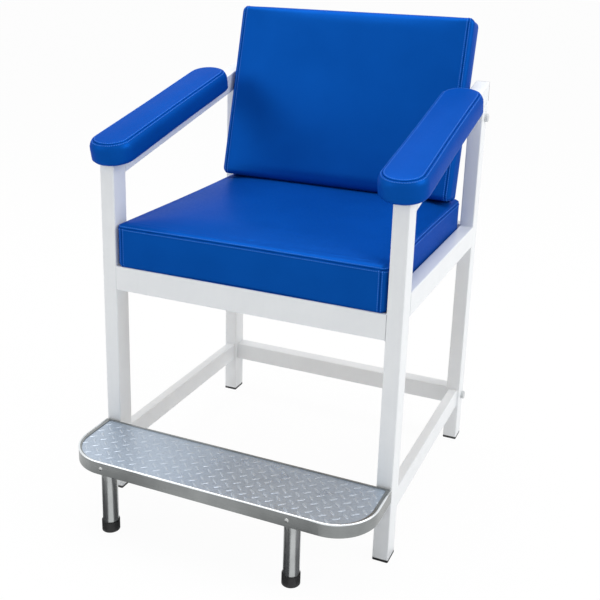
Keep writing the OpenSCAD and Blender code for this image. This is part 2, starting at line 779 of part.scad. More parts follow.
module step_ferrules() {
    color(black) placed() for (x = leg_x) translate([x, leg_y, 0]) difference() {
        cylinder(d = leg_d + 2 * fit_gap + 2 * ferrule_wall, h = ferrule_h, $fn = 2 * round_fn);
        translate([0, 0, ferrule_base]) cylinder(d = leg_d + 2 * fit_gap, h = ferrule_h, $fn = 2 * round_fn);
    }
}

// Bolts through the rim and the washers into a rivet nut in each front post
module step_mount_bolts() {
    grip = rim_t + washer_t;
    nut_d = bolt_d + 2 * rivnut_wall;
    color(zinc) placed() for (side = [-1, 1])
        translate([side * post_x, step_rear - rim_t, step_bolt_z]) rotate([-90, 0, 0]) {
            translate([0, 0, -bolt_head_h]) hex_head(bolt_af, bolt_head_h);
            cylinder(d = bolt_d, h = grip + rivnut_len, $fn = round_fn);
            translate([0, 0, grip]) cylinder(d = nut_d, h = rivnut_len, $fn = round_fn);
        }
}

module step_washers() {
    color(black) placed() for (side = [-1, 1])
        translate([side * post_x, step_rear / 2, step_bolt_z]) difference() {
            rod_y(washer_d, washer_t);
            rod_y(bolt_d + 2 * fit_gap, 2 * washer_t);
        }
}

front_post(-1);  // front_post_left
front_post(1);  // front_post_right
rear_post(-1);  // rear_post_left
rear_post(1);  // rear_post_right
arm_rail(-1);  // arm_rail_left
arm_rail(1);  // arm_rail_right
seat_rail_front();
seat_rail_rear();
seat_rail_side(-1);  // seat_rail_left
seat_rail_side(1);  // seat_rail_right
seat_bearer();
seat_tabs();
side_stretcher(-1);  // side_stretcher_left
side_stretcher(1);  // side_stretcher_right
rear_stretcher();
back_rail();
stretcher_bolts();
back_rail_bolts();
bolt_caps();
foot_glides();
arm_rail_plugs();
arm_board(-1);  // arm_board_left
arm_board(1);  // arm_board_right
arm_pad(-1);  // arm_pad_left
arm_pad(1);  // arm_pad_right
arm_screws();
seat_board();
seat_cushion();
seat_screws();
back_bracket(-1);  // back_bracket_left
back_bracket(1);  // back_bracket_right
bracket_bolts();
back_wedges();
back_wedge_screws();
back_board();
back_cushion();
back_screws();
step_rim();
step_tread_plate();
step_stiffener();
step_leg(leg_x[0]);  // step_leg_left
step_leg(leg_x[1]);  // step_leg_right
step_leg_brackets();
rim_rivets();
step_ferrules();
step_mount_bolts();
step_washers();
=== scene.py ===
import math

import bmesh
import bpy
import numpy as np
from mathutils import Matrix, Vector
from mathutils.kdtree import KDTree


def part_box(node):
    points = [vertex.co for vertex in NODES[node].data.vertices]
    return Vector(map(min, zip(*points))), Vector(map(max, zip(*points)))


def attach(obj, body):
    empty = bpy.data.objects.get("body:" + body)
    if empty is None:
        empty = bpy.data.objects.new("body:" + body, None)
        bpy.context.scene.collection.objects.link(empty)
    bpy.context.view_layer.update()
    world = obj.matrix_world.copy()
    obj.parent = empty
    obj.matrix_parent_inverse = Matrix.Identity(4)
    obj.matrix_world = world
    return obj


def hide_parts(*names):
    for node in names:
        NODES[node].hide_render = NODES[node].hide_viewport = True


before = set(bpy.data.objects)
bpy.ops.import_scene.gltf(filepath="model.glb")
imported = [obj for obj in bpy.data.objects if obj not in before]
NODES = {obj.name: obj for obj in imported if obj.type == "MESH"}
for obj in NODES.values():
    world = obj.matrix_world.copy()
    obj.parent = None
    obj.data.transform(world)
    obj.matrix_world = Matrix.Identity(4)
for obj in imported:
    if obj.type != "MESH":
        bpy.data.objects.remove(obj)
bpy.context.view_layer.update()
SCENE = bpy.context.scene
MM = 0.001
rng = np.random.default_rng(7)
SCENE.view_settings.view_transform = "Standard"

# Sizes that the scene shares with the CAD source: slope of the arms, lean of the back, radius
# of the step's front corners, thickness of the pads' boards, and play round each of them
ARM_SLOPE = math.radians(13.8)
BACK_LEAN = math.radians(14.5)
STEP_CORNER = 80 * MM
BOARD_T = 12 * MM
GAP = 0.3 * MM


# Camera at the photograph's viewing angle
def make_camera():
    azimuth, elevation, roll = 0.383656, 0.281507, 0.035588
    place = Vector((0.689911, -1.571159, 1.039290))
    focal_px, centre_px, picture_px = 905.518, (316.445, 228.046), 600
    back = Vector((
        math.sin(azimuth) * math.cos(elevation),
        -math.cos(azimuth) * math.cos(elevation),
        math.sin(elevation),
    ))
    level = (-back).cross(Vector((0, 0, 1))).normalized()
    upright = level.cross(-back)
    right = math.cos(roll) * level + math.sin(roll) * upright
    up = math.cos(roll) * upright - math.sin(roll) * level
    data = bpy.data.cameras.new("camera")
    data.sensor_width = 36
    data.lens = data.sensor_width * focal_px / picture_px
    data.shift_x = (picture_px / 2 - centre_px[0]) / picture_px
    data.shift_y = (centre_px[1] - picture_px / 2) / picture_px
    camera = bpy.data.objects.new("camera", data)
    camera.matrix_world = Matrix((
        (right.x, up.x, back.x, place.x),
        (right.y, up.y, back.y, place.y),
        (right.z, up.z, back.z, place.z),
        (0, 0, 0, 1),
    ))
    SCENE.collection.objects.link(camera)
    SCENE.camera = camera


# Helpers for the materials
def linear(red, green, blue):
    """A colour given as 0 to 255, as the shaders want it."""
    def one(value):
        value /= 255
        return value / 12.92 if value <= 0.04045 else ((value + 0.055) / 1.055) ** 2.4
    return one(red), one(green), one(blue), 1.0


class Material:
    """A node material with a Principled shader and short calls for its textures."""

    def __init__(self, name, **sockets):
        self.made = bpy.data.materials.new(name)
        self.made.use_nodes = True
        self.tree = self.made.node_tree
        self.shader = self.tree.nodes["Principled BSDF"]
        for socket, value in sockets.items():
            self.shader.inputs[socket.replace("_", " ")].default_value = value

    def node(self, kind, links=None, **values):
        node = self.tree.nodes.new("ShaderNode" + kind)
        for key, value in values.items():
            setattr(node, key, value)
        for socket, source in (links or {}).items():
            self.set(node.inputs[socket], source)
        return node

    def set(self, socket, source):
        if isinstance(source, bpy.types.NodeSocket):
            self.tree.links.new(source, socket)
        else:
            socket.default_value = source

    def space(self, scale=(1, 1, 1), turn=(0, 0, 0)):
        """Object coordinates, in metres, turned and then stretched."""
        place = self.node("TexCoord").outputs["Object"]
        turned = self.node("Mapping", {"Vector": place, "Rotation": turn}).outputs[0]
        return self.node("Mapping", {"Vector": turned, "Scale": scale}).outputs[0]

    def noise(self, vector, scale, detail=3.0, rough=0.55):
        links = {"Vector": vector, "Scale": scale, "Detail": detail, "Roughness": rough}
        return self.node("TexNoise", links).outputs["Fac"]

    def pores(self, vector, scale):
        """Distance from the edges of a leather's pores."""
        node = self.node("TexVoronoi", {"Vector": vector, "Scale": scale}, feature="DISTANCE_TO_EDGE")
        return node.outputs["Distance"]

    def remap(self, value, low, high, to_low, to_high):
        links = {
            "Value": value, "From Min": low, "From Max": high, "To Min": to_low, "To Max": to_high
        }
        return self.node("MapRange", links).outputs["Result"]

    def math(self, operation, *values):
        node = self.node("Math", operation=operation)
        for socket, value in zip(node.inputs, values):
            self.set(socket, value)
        return node.outputs[0]

    def mix(self, share, first, second):
        """A colour between two colours."""
        node = self.node("Mix", data_type="RGBA")
        for index, value in ((0, share), (6, first), (7, second)):
            self.set(node.inputs[index], value)
        return node.outputs[2]

    def bump(self, height, distance, strength):
        links = {"Height": height, "Distance": distance, "Strength": strength}
        return self.node("Bump", links).outputs["Normal"]

    def out(self, **links):
        for socket, source in links.items():
            self.set(self.shader.inputs[socket.replace("_", " ")], source)
        return self.made


# Finishes
def vinyl(name, base, dark):
    """Upholstery vinyl: a soft blue sheen and a fine leather grain with creases, whose colour is darker in
    the creases as painted shade.
    """
    m = Material(name, Metallic=0.3, Specular_IOR_Level=0.015, Specular_Tint=linear(70, 150, 255))
    space = m.space()
    cloud = m.noise(space, 9.0, 2.0)
    crease = m.remap(m.pores(space, 820.0), 0.0, 0.22, 0.0, 1.0)
    swell = m.noise(space, 240.0, 4.0)
    # Tone: random clouds, plus painted shade in the grain's creases
    tone = m.math("MULTIPLY_ADD", cloud, 0.7, m.math("MULTIPLY", crease, 0.3))
    height = m.math("ADD", m.math("MULTIPLY", crease, 0.6), m.math("MULTIPLY", swell, 0.8))
    return m.out(
        Base_Color=m.mix(m.remap(tone, 0.25, 0.75, 0.0, 1.0), dark, base),
        Roughness=m.remap(swell, 0.3, 0.7, 0.32, 0.42),
        Normal=m.bump(height, 0.1 * MM, 0.5),
    )


def thread(name, base, dark):
    """Sewing thread: a slight sheen and a twist."""
    m = Material(name, Roughness=0.5, Specular_IOR_Level=0.2)
    twist = m.noise(m.space(), 1500.0, 2.0)
    return m.out(
        Base_Color=m.mix(twist, dark, base), Normal=m.bump(twist, 0.15 * MM, 0.6)
    )


def powder_coat(name, base, dark):
    """White powder coat: slight orange peel and a trace of handling."""
    m = Material(name, Coat_Weight=0.2, Coat_Roughness=0.2)
    space = m.space()
    peel = m.noise(space, 520.0, 2.0)
    cloud = m.noise(space, 14.0, 4.0, 0.6)
    scuff = m.noise(m.space((60, 60, 9)), 2.0, 5.0, 0.7)
    tone = m.math("MULTIPLY_ADD", cloud, 0.7, m.math("MULTIPLY", scuff, 0.3))
    return m.out(
        Base_Color=m.mix(m.remap(tone, 0.3, 0.7, 0.0, 1.0), dark, base),
        Roughness=m.remap(scuff, 0.3, 0.75, 0.3, 0.42),
        Normal=m.bump(peel, 0.08 * MM, 0.35),
    )


def plywood(name, turn):
    """Birch plywood: grain along the sheet and glued layers through its thickness."""
    m = Material(name, Roughness=0.62)
    grain = m.noise(m.space((160, 9, 160), turn), 1.0, 6.0, 0.62)
    rings = m.noise(m.space((26, 2.2, 26), turn), 1.0, 3.0)
    layers = m.node(
        "TexWave", {"Vector": m.space((0, 0, 1), turn), "Scale": 190.0, "Distortion": 0.4},
        bands_direction="Z",
    ).outputs["Fac"]
    pale = m.mix(grain, linear(176, 139, 92), linear(222, 192, 146))
    toned = m.mix(m.remap(rings, 0.35, 0.7, 0.0, 0.6), pale, linear(196, 158, 108))
    return m.out(
        Base_Color=m.mix(m.remap(layers, 0.5, 0.9, 0.0, 0.35), toned, linear(120, 84, 50)),
        Normal=m.bump(grain, 0.25 * MM, 0.5),
    )


def moulded(name, base, worn, rough, grain_scale):
    """Moulded plastic or rubber with a fine matt grain and paler, worn patches."""
    m = Material(name)
    space = m.space()
    grain = m.noise(space, grain_scale, 3.0)
    cloud = m.noise(space, 40.0, 3.0)
    return m.out(
        Base_Color=m.mix(cloud, base, worn),
        Roughness=m.remap(cloud, 0.3, 0.7, rough - 0.07, rough + 0.07),
        Normal=m.bump(grain, 0.1 * MM, 0.5),
    )


def brushed_steel(name, streaks, base, dark, rough):
    """Stainless steel with brush lines; streaks stretches space across the lines."""
    m = Material(name, Metallic=1.0)
    lines = m.noise(m.space(streaks), 1.0, 4.0, 0.7)
    cloud = m.noise(m.space(), 22.0, 3.0)
    return m.out(
        Base_Color=m.mix(m.remap(cloud, 0.3, 0.7, 0.0, 1.0), dark, base),
        Roughness=m.remap(lines, 0.25, 0.75, rough - 0.08, rough + 0.1),
        Normal=m.bump(lines, 0.03 * MM, 0.5),
    )


def rolled_alloy(name, base, dark):
    """Aluminium of the tread plate: rolled, slightly mottled and dulled by shoes."""
    m = Material(name, Metallic=0.62)
    space = m.space()
    mottle = m.noise(space, 230.0, 5.0, 0.7)
    wear = m.noise(space, 18.0, 4.0, 0.6)
    specks = m.noise(space, 900.0, 2.0)
    tone = m.math("MULTIPLY_ADD", mottle, 0.6, m.math("MULTIPLY", specks, 0.4))
    return m.out(
        Base_Color=m.mix(m.remap(tone, 0.38, 0.62, 0.0, 1.0), dark, base),
        Roughness=m.remap(wear, 0.3, 0.7, 0.26, 0.38),
        Normal=m.bump(tone, 0.06 * MM, 0.4),
    )


def zinc_plate(name):
    """Zinc plate of the bolts, screws and staples, with its dull crystals."""
    m = Material(name, Metallic=1.0)
    flow = m.noise(m.space(), 300.0, 3.0)
    return m.out(
        Base_Color=m.mix(flow, linear(168, 172, 178), linear(214, 214, 208)),
        Roughness=m.remap(flow, 0.3, 0.7, 0.24, 0.4),
        Normal=m.bump(flow, 0.05 * MM, 0.4),
    )


BLUE = vinyl("blue_vinyl_finish", linear(10, 80, 168), linear(7, 73, 157))
THREAD = thread("thread_finish", linear(84, 148, 240), linear(44, 108, 208))
WHITE = powder_coat("white_paint_finish", linear(235, 238, 240), linear(229, 232, 235))
PLASTIC = moulded("black_plastic_finish", linear(24, 25, 27), linear(38, 39, 41), 0.46, 700.0)
GREY = moulded("grey_plastic_finish", linear(196, 199, 201), linear(208, 211, 212), 0.4, 700.0)
RUBBER = moulded("black_rubber_finish", linear(17, 17, 18), linear(36, 37, 38), 0.62, 420.0)
RIM_LINES, LEG_LINES, LIP_LINES = (4, 4, 900), (500, 500, 5), (30, 30, 300)
# The rim, legs and lip are one steel in three copies; the rim's darker copy is painted shade, the dark
# surroundings its front reflects
SHADED_RIM_STEEL = brushed_steel("rim_steel_finish", RIM_LINES, linear(149, 152, 152), linear(137, 140, 140), 0.3)
LEG_STEEL = brushed_steel("leg_steel_finish", LEG_LINES, linear(190, 193, 193), linear(172, 175, 175), 0.26)
# The lip's pale copy of the steel is a painted highlight
HIGHLIT_LIP_STEEL = brushed_steel("lip_steel_finish", LIP_LINES, linear(240, 244, 246), linear(226, 231, 234), 0.22)
# The plate's blue tint is painted light, the bluish light it reflects
ALLOY = rolled_alloy("tread_plate_finish", linear(187, 200, 215), linear(165, 178, 194))
# The bars' paler copy of the plate's alloy is a painted highlight
HIGHLIT_BAR_ALLOY = rolled_alloy("tread_bar_finish", linear(198, 209, 221), linear(182, 193, 206))
ZINC = zinc_plate("zinc_finish")
PLY_FLAT = plywood("plywood_finish", (0, 0, 0))
PLY_ARM = plywood("arm_plywood_finish", (-ARM_SLOPE, 0, 0))
PLY_BACK = plywood("back_plywood_finish", (BACK_LEAN - math.pi / 2, 0, 0))

FINISHES = {
    "white_paint": WHITE, "plywood": PLY_FLAT, "black_plastic": PLASTIC, "grey_plastic": GREY,
    "black_rubber": RUBBER, "step_steel": LEG_STEEL, "tread_plate": ALLOY, "zinc": ZINC,
    "blue_vinyl": BLUE,
}
NODE_FINISHES = {
    "step_rim": SHADED_RIM_STEEL, "arm_board_left": PLY_ARM, "arm_board_right": PLY_ARM,
    "back_board": PLY_BACK,
}


def dress_frame():
    """Gives each CAD node the finish of its material slot, or its own."""
    for name, node in NODES.items():
        slot = node.material_slots[0].material.name.split(".")[0]
        node.data.materials.clear()
        node.data.materials.append(NODE_FINISHES.get(name, FINISHES[slot]))


# Stage
def make_stage():
    """A pale floor and plain studio light with a white surround."""
    m = Material("floor_finish", Roughness=0.9)
    m.out(Base_Color=m.mix(m.noise(m.space(), 3.0), linear(238, 238, 238), linear(243, 243, 243)))
    glow = m.node("Emission", {"Color": (1, 1, 1, 1), "Strength": 1.0})
    path = m.node("LightPath")
    seen = m.math("MAXIMUM", path.outputs["Is Camera Ray"], path.outputs["Is Glossy Ray"])
    seen = m.math("MAXIMUM", seen, path.outputs["Is Transmission Ray"])
    mixed = m.node("MixShader", {0: m.math("MULTIPLY", seen, 0.96)})
    m.tree.links.new(m.shader.outputs[0], mixed.inputs[1])
    m.tree.links.new(glow.outputs[0], mixed.inputs[2])
    m.tree.links.new(mixed.outputs[0], m.tree.nodes["Material Output"].inputs["Surface"])
    reach = 40.0
    corners = [(-reach, -reach, 0), (reach, -reach, 0), (reach, reach, 0), (-reach, reach, 0)]
    floor = make_mesh("floor", corners, [(0, 1, 2, 3)], m.made)

    world = bpy.data.worlds.new("surround")
    SCENE.world = world
    world.use_nodes = True
    tree = world.node_tree
    sky = tree.nodes["Background"]
    sky.inputs["Color"].default_value = (1, 1, 1, 1)
    path = tree.nodes.new("ShaderNodeLightPath")
    seen = tree.nodes.new("ShaderNodeMath")
    seen.operation = "MAXIMUM"
    tree.links.new(path.outputs["Is Camera Ray"], seen.inputs[0])
    tree.links.new(path.outputs["Is Glossy Ray"], seen.inputs[1])
    also = tree.nodes.new("ShaderNodeMath")
    also.operation = "MAXIMUM"
    tree.links.new(seen.outputs[0], also.inputs[0])
    tree.links.new(path.outputs["Is Transmission Ray"], also.inputs[1])
    level = tree.nodes.new("ShaderNodeMapRange")
    tree.links.new(also.outputs[0], level.inputs["Value"])
    level.inputs["To Min"].default_value = 0.53
    level.inputs["To Max"].default_value = 1.0
    tree.links.new(level.outputs["Result"], sky.inputs["Strength"])


def make_card(name, middle, first, last, grey):
    """A dark fan on the floor about a leg of the step, between two bearings. Only mirror
    reflections see it, as the dark room beside the photographer in the bare metal."""
    m = Material(name + "_finish", Roughness=0.9)
    m.out(Base_Color=m.mix(m.noise(m.space(), 3.0), linear(grey, grey, grey), linear(grey, grey, grey + 4)))
    radii = 20 * MM, 220 * MM
    bearings = np.radians(np.linspace(first, last, 25))
    points = [
        (middle.x + r * math.cos(a), middle.y + r * math.sin(a), MM)
        for a in bearings for r in radii
    ]
    faces = [(2 * k, 2 * k + 1, 2 * k + 3, 2 * k + 2) for k in range(len(bearings) - 1)]
    card = make_mesh(name, points, faces, m.made)
    card.visible_camera = card.visible_diffuse = card.visible_shadow = False


def make_cards():
    """Two fans about each leg of the step, one dark and one grey: painted reflections in its bare metal."""
    for side in ("left", "right"):
        low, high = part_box("step_leg_" + side)
        middle = (low + high) / 2
        make_card(side + "_leg_dark_card", middle, first=-190, last=-88, grey=84)
        make_card(side + "_leg_grey_card", middle, first=-22, last=60, grey=146)


def lamp(name, place, target, size, power):
    data = bpy.data.lights.new(name, "AREA")
    data.shape = "SQUARE"
    data.size = size
    data.energy = power
    made = bpy.data.objects.new(name, data)
    made.location = place
    made.rotation_mode = "QUATERNION"
    made.rotation_quaternion = (Vector(target) - Vector(place)).to_track_quat("-Z", "Y")
    SCENE.collection.objects.link(made)


def make_lamps():
    """Key light from the right, a broad one from above, and a weak one from the front left."""
    middle = (0, 0, 0.5)
    lamp("key_lamp", (3.2, 0.2, 2.6), middle, size=2.2, power=60)
    lamp("top_lamp", (-0.4, 0.3, 3.2), middle, size=2.6, power=62)
    lamp("fill_lamp", (-2.4, -2.6, 1.6), middle, size=2.2, power=19)


# Mesh helpers
def make_mesh(name, points, faces, material):
    mesh = bpy.data.meshes.new(name)
    mesh.from_pydata([tuple(map(float, p)) for p in points], [], [tuple(map(int, f)) for f in faces])
    mesh.update()
    mesh.materials.append(material)
    mesh.polygons.foreach_set("use_smooth", [True] * len(mesh.polygons))
    made = bpy.data.objects.new(name, mesh)
    SCENE.collection.objects.link(made)
    return made


def add_piece(piece):
    """Makes a mesh a piece of the chair, under its root body."""
    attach(piece, "root")


def coordinates(mesh):
    flat = np.empty(len(mesh.vertices) * 3, np.float32)
    mesh.vertices.foreach_get("co", flat)
    return flat.reshape(-1, 3).astype(float)


def set_coordinates(mesh, points):
    mesh.vertices.foreach_set("co", np.asarray(points, np.float32).ravel())
    mesh.update()


def applied(piece):
    """Applies a piece's modifiers to its mesh."""
    graph = bpy.context.evaluated_depsgraph_get()
    made = bpy.data.meshes.new_from_object(piece.evaluated_get(graph))
    old = piece.data
    piece.modifiers.clear()
    piece.data = made
    bpy.data.meshes.remove(old)


# Pads
# Places on either side of a seam, along the surface, where a pad's mesh is cut finer
SEAM_STEPS = [-8, -5.6, -4.2, -3.2, -2.3, -1.5, -0.9, -0.45, 0, 0.45, 0.9, 1.5, 2.3, 3.2, 4.2, 5.6, 8]
STITCH_ROW = 3.2 * MM
# How far from a seam its groove and its welts reach
SEAM_REACH = 9 * MM
# Level rim between a pad's rounded top edge and its crown, as a share of the edge's radius
LEVEL_RIM_SHARE = 0.6
# Largest corner radius, as a share of a pad's width
ROUND_END_SHARE = 0.47


def with_seams(length, step, seams):
    """Positions from 0 to length about a step apart, with the finer ones round each seam."""
    fine = [s + k * MM for s in seams for k in SEAM_STEPS if 0 < s + k * MM < length]
    ends = sorted({0.0, float(length), *fine})
    places = []
    for low, high in zip(ends, ends[1:]):
        parts = max(1, round((high - low) / step))
        places += [low + (high - low) * k / parts for k in range(parts)]
    return np.array(places + [float(length)])


def arc_points(centre, radius, start, end, count):
    """Points of an arc, in degrees from the first axis."""
    turns = np.radians(np.linspace(start, end, count))
    return [(centre[0] + radius * math.cos(a), centre[1] + radius * math.sin(a)) for a in turns]


class Line:
    """A line through points that is read by its length."""

    def __init__(self, points):
        self.points = np.array(points, float)
        steps = np.linalg.norm(np.diff(self.points, axis=0), axis=1)
        self.at = np.concatenate([[0], np.cumsum(steps)])
        self.length = self.at[-1]

    def __call__(self, places):
        return np.stack([np.interp(places, self.at, c) for c in self.points.T], -1)


def ring(w, d, radii, pulls, arcs, sides):
    """Points round a rounded rectangle from its +X side, turning to +Y. radii has one radius per
    corner, pulls says how far each side is drawn in, or stands out where it is negative, arcs are
    shares of a quarter turn, and sides the shares of the sides along X and along Y."""
    found = []
    middles = [
        np.array(((1 if c in (0, 3) else -1) * (w / 2 - r), (1 if c < 2 else -1) * (d / 2 - r)))
        for c, r in enumerate(radii)
    ]
    for c in range(4):
        turns = np.pi / 2 * (c + arcs)
        found.append(middles[c] + radii[c] * np.stack([np.cos(turns), np.sin(turns)], -1))
        out = np.array((math.cos(math.pi / 2 * (c + 1)), math.sin(math.pi / 2 * (c + 1))))
        share = sides[c % 2][:, None]
        n = (c + 1) % 4
        straight = (1 - share) * (middles[c] + radii[c] * out) + share * (middles[n] + radii[n] * out)
        found.append(straight - pulls[c] * np.sin(np.pi * share) ** 1.5 * out)
    return np.concatenate(found)


def patch(loop, first, counts):
    """Rows of a grid inside a closed loop of points, blended from its four sides."""
    turned = np.roll(loop, -first, axis=0)
    across, along = counts
    top = turned[: across + 1]
    left = turned[across : across + along + 1]
    low = turned[across + along : 2 * across + along + 1][::-1]
    right = np.concatenate([turned[2 * across + along :], turned[:1]])[::-1]

    def shares(a, b):
        lines = [Line(a), Line(b)]
        return (lines[0].at / lines[0].length + lines[1].at / lines[1].length) / 2

    u = shares(top, low)[None, :, None]
    v = shares(right, left)[:, None, None]
    blend = (1 - v) * top[None] + v * low[None] + (1 - u) * right[:, None] + u * left[:, None]
    corners = (
        (1 - u) * (1 - v) * top[0] + u * (1 - v) * top[-1]
        + (1 - u) * v * low[0] + u * v * low[-1]
    )
    return blend - corners


class Pad:
    """A closed pad whose mesh follows its seams: rings from one end to the other, and a grid
    at each end. rings has one loop of 3-D points per row."""

    def __init__(self, rings, first, counts):
        self.rings = rings
        self.count = len(rings[0])
        self.points = list(np.concatenate(rings))
        self.faces = []
        for k in range(len(rings) - 1):
            for i in range(self.count):
                j = (i + 1) % self.count
                a, b = k * self.count, (k + 1) * self.count
                self.faces.append((a + i, a + j, b + j, b + i))
        self.grids = [self.close(0, first, counts, True), self.close(len(rings) - 1, first, counts, False)]

    def close(self, row, first, counts, flip):
        """Fills one end with a grid, and returns the grid's point numbers."""
        across, along = counts
        grid = patch(self.rings[row], first, counts)
        numbers = np.full((along + 1, across + 1), -1)
        start = row * self.count
        loop = [start + (first + k) % self.count for k in range(self.count)]
        numbers[0, :] = loop[: across + 1]
        numbers[:, across] = loop[across : across + along + 1]
        numbers[along, ::-1] = loop[across + along : 2 * across + along + 1]
        numbers[::-1, 0] = loop[2 * across + along :] + loop[:1]
        for j in range(1, along):
            for i in range(1, across):
                numbers[j, i] = len(self.points)
                self.points.append(grid[j, i])
        for j in range(along):
            for i in range(across):
                face = (numbers[j, i], numbers[j, i + 1], numbers[j + 1, i + 1], numbers[j + 1, i])
                self.faces.append(face[::-1] if flip else face)
        return numbers

    def index(self, row, column):
        return row * self.count + column % self.count

    def seam_points(self):
        """The points on the pad's seams."""
        found = [self.points[row * self.count + i] for row in self.row_seams for i in range(self.count)]
        for seam in self.column_seams:
            found += [self.points[self.index(k, seam)] for k in range(*self.seam_rows)]
        return found


def near(places, wanted):
    """Number of the place that lies nearest to a wanted one."""
    return int(np.argmin(np.abs(np.asarray(places) - wanted)))


def grid_counts(arcs, sides):
    """How many steps the grid of an end has along its first and its second side."""
    return [len(arcs) + len(side) for side in sides]


def quarter(radius, step, seams=False):
    """Shares of a quarter turn, with one at its middle, and finer ones where seams stand."""
    length = radius * math.pi / 2
    places = with_seams(length, min(step, length / 6), [0, length] if seams else []) / length
    return np.unique(np.round([*places, *(1 - places), 0.5], 6))


def upright_pad(size, low, high, radius, edge, pull, bottom, seam_up, corner_seams, step, rise=0):
    """A boxed pad on z = low with its top edge at high. Its seam runs round it, seam_up along
    the surface above the foot of the top's rounded edge, and others stand beside its corners.
    The top edge rises by rise towards +Y."""
    w, d = size
    foot = 2.5 * bottom
    wall = Line(
        [(foot, low)] + arc_points((bottom, low + bottom), bottom, 270, 180, 7)
        + arc_points((edge, high - edge), edge, 180, 90, 13) + [((1 + LEVEL_RIM_SHARE) * edge, high)]
    )
    seam_at = wall.length - LEVEL_RIM_SHARE * edge - edge * math.pi / 2 + seam_up
    rows = with_seams(wall.length, step, [seam_at])
    arcs = quarter(radius, step, corner_seams)
    spans = (w - 2 * radius, d - 2 * radius)
    sides = [
        with_seams(span, step, [0, span] if corner_seams and k == 0 else [])[1:-1] / span
        for k, span in enumerate(spans)
    ]
    pulls = [pull if span > radius else 0 for span in spans] * 2
    rings = []
    for inset, z in wall(rows):
        r = radius - inset * radius / (radius + inset)
        r = min(r, ROUND_END_SHARE * (min(w, d) - 2 * inset))
        flat = ring(w - 2 * inset, d - 2 * inset, [r] * 4, pulls, arcs, sides)
        lift = rise * (flat[:, 1] / d + 0.5) * (z - low) / (high - low)
        rings.append(np.column_stack([flat, z + lift]))
    pad = Pad(rings, len(arcs) // 2, grid_counts(arcs, sides))
    pad.row_seams = {near(rows, seam_at): rows}
    pad.column_seams = []
    if corner_seams:
        run, turn = (len(arcs) + len(side) for side in sides)
        starts = [0, run, run + turn, 2 * run + turn]
        last = len(arcs) - 1
        pad.column_seams = [starts[0] + last, starts[1], starts[2] + last, starts[3]]
        pad.seam_rows = (near(rows, foot), near(rows, seam_at))
    return pad


def gusset_pad(size, thick, radius, edge, bottom, pull, crown, seam_in, step):
    """The back's pad: rings run round its height and thickness from one side to the other, a
    seam stands seam_in from each side, and the side bands close the ends. A ring is placed by
    its x and by the share of the corner's rounding that it has; spread spaces the rings there."""
    w, h = size
    turns = np.radians(np.linspace(90, 0, 10))
    rim = [(w / 2 - radius + radius * math.sin(a), 1 - math.cos(a)) for a in turns]
    spread = 40 * MM
    half = Line([(x, spread * share) for x, share in rim] + [(0, 0)])
    seam_at = half.length - (w / 2 - seam_in)
    rows = with_seams(half.length, step, [seam_at])
    arcs = quarter(edge, 3 * MM)
    sides = [with_seams(h - 2 * edge, step, [])[1:-1] / (h - 2 * edge), np.linspace(0, 1, 9)[1:-1]]
    places = [(x, share / spread) for x, share in half(rows)]
    places = [(-x, share) for x, share in places] + [(x, share) for x, share in places[-2::-1]]
    rings = []
    for x, share in places:
        tall, deep = h - 2 * radius * share, thick - (edge + bottom) * share
        rise = crown * (1 - (2 * abs(x) / w) ** 2.4)
        radii = [edge - 0.55 * edge * share] * 2 + [bottom - 0.5 * bottom * share] * 2
        flat = ring(tall, deep, radii, [-rise, pull, 0, pull], arcs, sides)
        rings.append(np.column_stack([
            np.full(len(flat), x), flat[:, 0] + h / 2, flat[:, 1] + thick / 2 + (bottom - edge) * share / 2
        ]))
    pad = Pad(rings, len(arcs) // 2, grid_counts(arcs, sides))
    first = near(rows, seam_at)
    all_rows = np.concatenate([rows, 2 * rows[-1] - rows[-2::-1]])
    pad.row_seams = {first: all_rows, len(all_rows) - 1 - first: all_rows}
    pad.column_seams = []
    return pad


def swell(pad, cap, voxel, name):
    """Runs Blender's Cloth on a remeshed copy of the pad, with its seams and underside held,
    and moves the pad's own points as the cloth moved, by cap at most."""
    copy = make_mesh(name + "_cloth", pad.points, pad.faces, BLUE)
    remesh = copy.modifiers.new("remesh", "REMESH")
    remesh.mode = "VOXEL"
    remesh.voxel_size = voxel
    applied(copy)
    rest = coordinates(copy.data)
    held = pad.seam_points()
    seams = KDTree(len(held))
    for number, point in enumerate(held):
        seams.insert(point, number)
    seams.balance()
    underside = min(point[2] for point in pad.points) + 3 * MM
    fade = 6 * MM
    pins = copy.vertex_groups.new(name="pins")
    for number, point in enumerate(rest):
        gap = seams.find(point)[2]
        weight = 1.0 if point[2] < underside else float(np.clip(1.6 - gap / fade, 0, 1))
        pins.add([number], weight, "REPLACE")
    cloth = copy.modifiers.new("cloth", "CLOTH")
    cloth.settings.quality = 5
    cloth.settings.mass = 0.25
    cloth.settings.tension_stiffness = cloth.settings.compression_stiffness = 30
    cloth.settings.bending_stiffness = 4
    cloth.settings.use_pressure = True
    cloth.settings.uniform_pressure_force = 4.0
    cloth.settings.effector_weights.gravity = 0
    cloth.settings.vertex_group_mass = "pins"
    cloth.collision_settings.use_collision = False
    frames = range(1, 21)
    cloth.point_cache.frame_start, cloth.point_cache.frame_end = frames[0], frames[-1]
    for number in frames:
        SCENE.frame_set(number)
    applied(copy)
    SCENE.frame_set(frames[0])
    moved = coordinates(copy.data) - rest
    reach = np.linalg.norm(moved, axis=1, keepdims=True)
    moved *= np.minimum(1, cap / np.maximum(reach, 1e-9))
    bpy.data.objects.remove(copy)
    tree = KDTree(len(rest))
    for number, point in enumerate(rest):
        tree.insert(point, number)
    tree.balance()
    result = []
    for point in pad.points:
        found = tree.find_n(point, 8)
        weights = np.array([1 / (gap + 0.5 * voxel) ** 2 for _, _, gap in found])
        shift = (moved[[number for _, number, _ in found]] * weights[:, None]).sum(0) / weights.sum()
        result.append(np.asarray(point) + shift)
    pad.points = result


